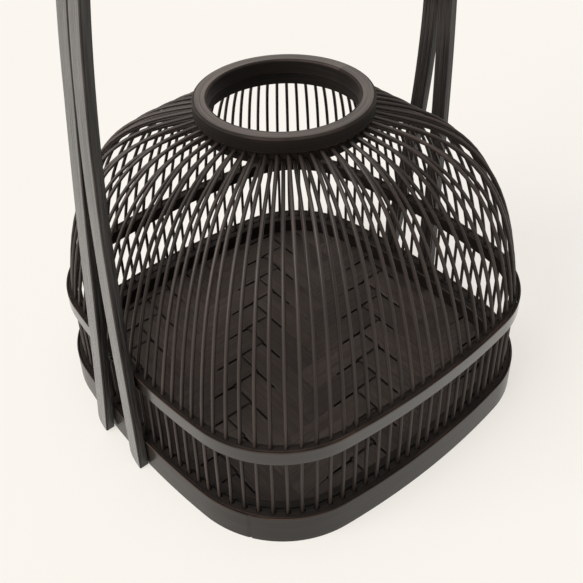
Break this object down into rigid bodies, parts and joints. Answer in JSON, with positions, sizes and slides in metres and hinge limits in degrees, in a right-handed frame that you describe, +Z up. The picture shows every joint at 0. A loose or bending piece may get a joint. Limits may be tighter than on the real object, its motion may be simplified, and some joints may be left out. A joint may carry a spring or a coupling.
{
  "type": "bamboo flower basket",
  "caption": "Handled flower basket: round bamboo splints between bent square hoops, domed up to a ring mouth, with a tall arched handle.",
  "frame": {"origin": "centre of the footprint, on the table plane under the base hoop", "axes": "+Z up through the mouth; the handle stands in the XZ plane with a leg on -X and one on +X; the flat sides of the base face +X, -X, +Y and -Y"},
  "size_m": [0.2568, 0.2448, 0.4699],
  "materials": {
    "stained_bamboo_hoop": "black-brown stained and waxed bamboo, soft sheen",
    "stained_bamboo_ring": "black-brown stained bamboo, cut face, fine fibre lines",
    "stained_bamboo_splint": "black-brown stained round splints, warm satin sheen",
    "stained_bamboo_slat": "black-brown stained bamboo slat, smooth outer skin, grooved inner face",
    "woven_bamboo_floor": "black-brown stained flat strips in a twill weave, matt"
  },
  "bodies": {
    "root": {"base_band": "stained_bamboo_hoop", "base_ring": "stained_bamboo_ring", "floor_frame": "stained_bamboo_ring", "floor_panel": "woven_bamboo_floor", "mid_band": "stained_bamboo_hoop", "splint_cage": "stained_bamboo_splint", "mouth_ring": "stained_bamboo_ring", "collar_ring": "stained_bamboo_ring", "handle_slat_front": "stained_bamboo_slat", "handle_slat_back": "stained_bamboo_slat"}
  },
  "joints": []
}
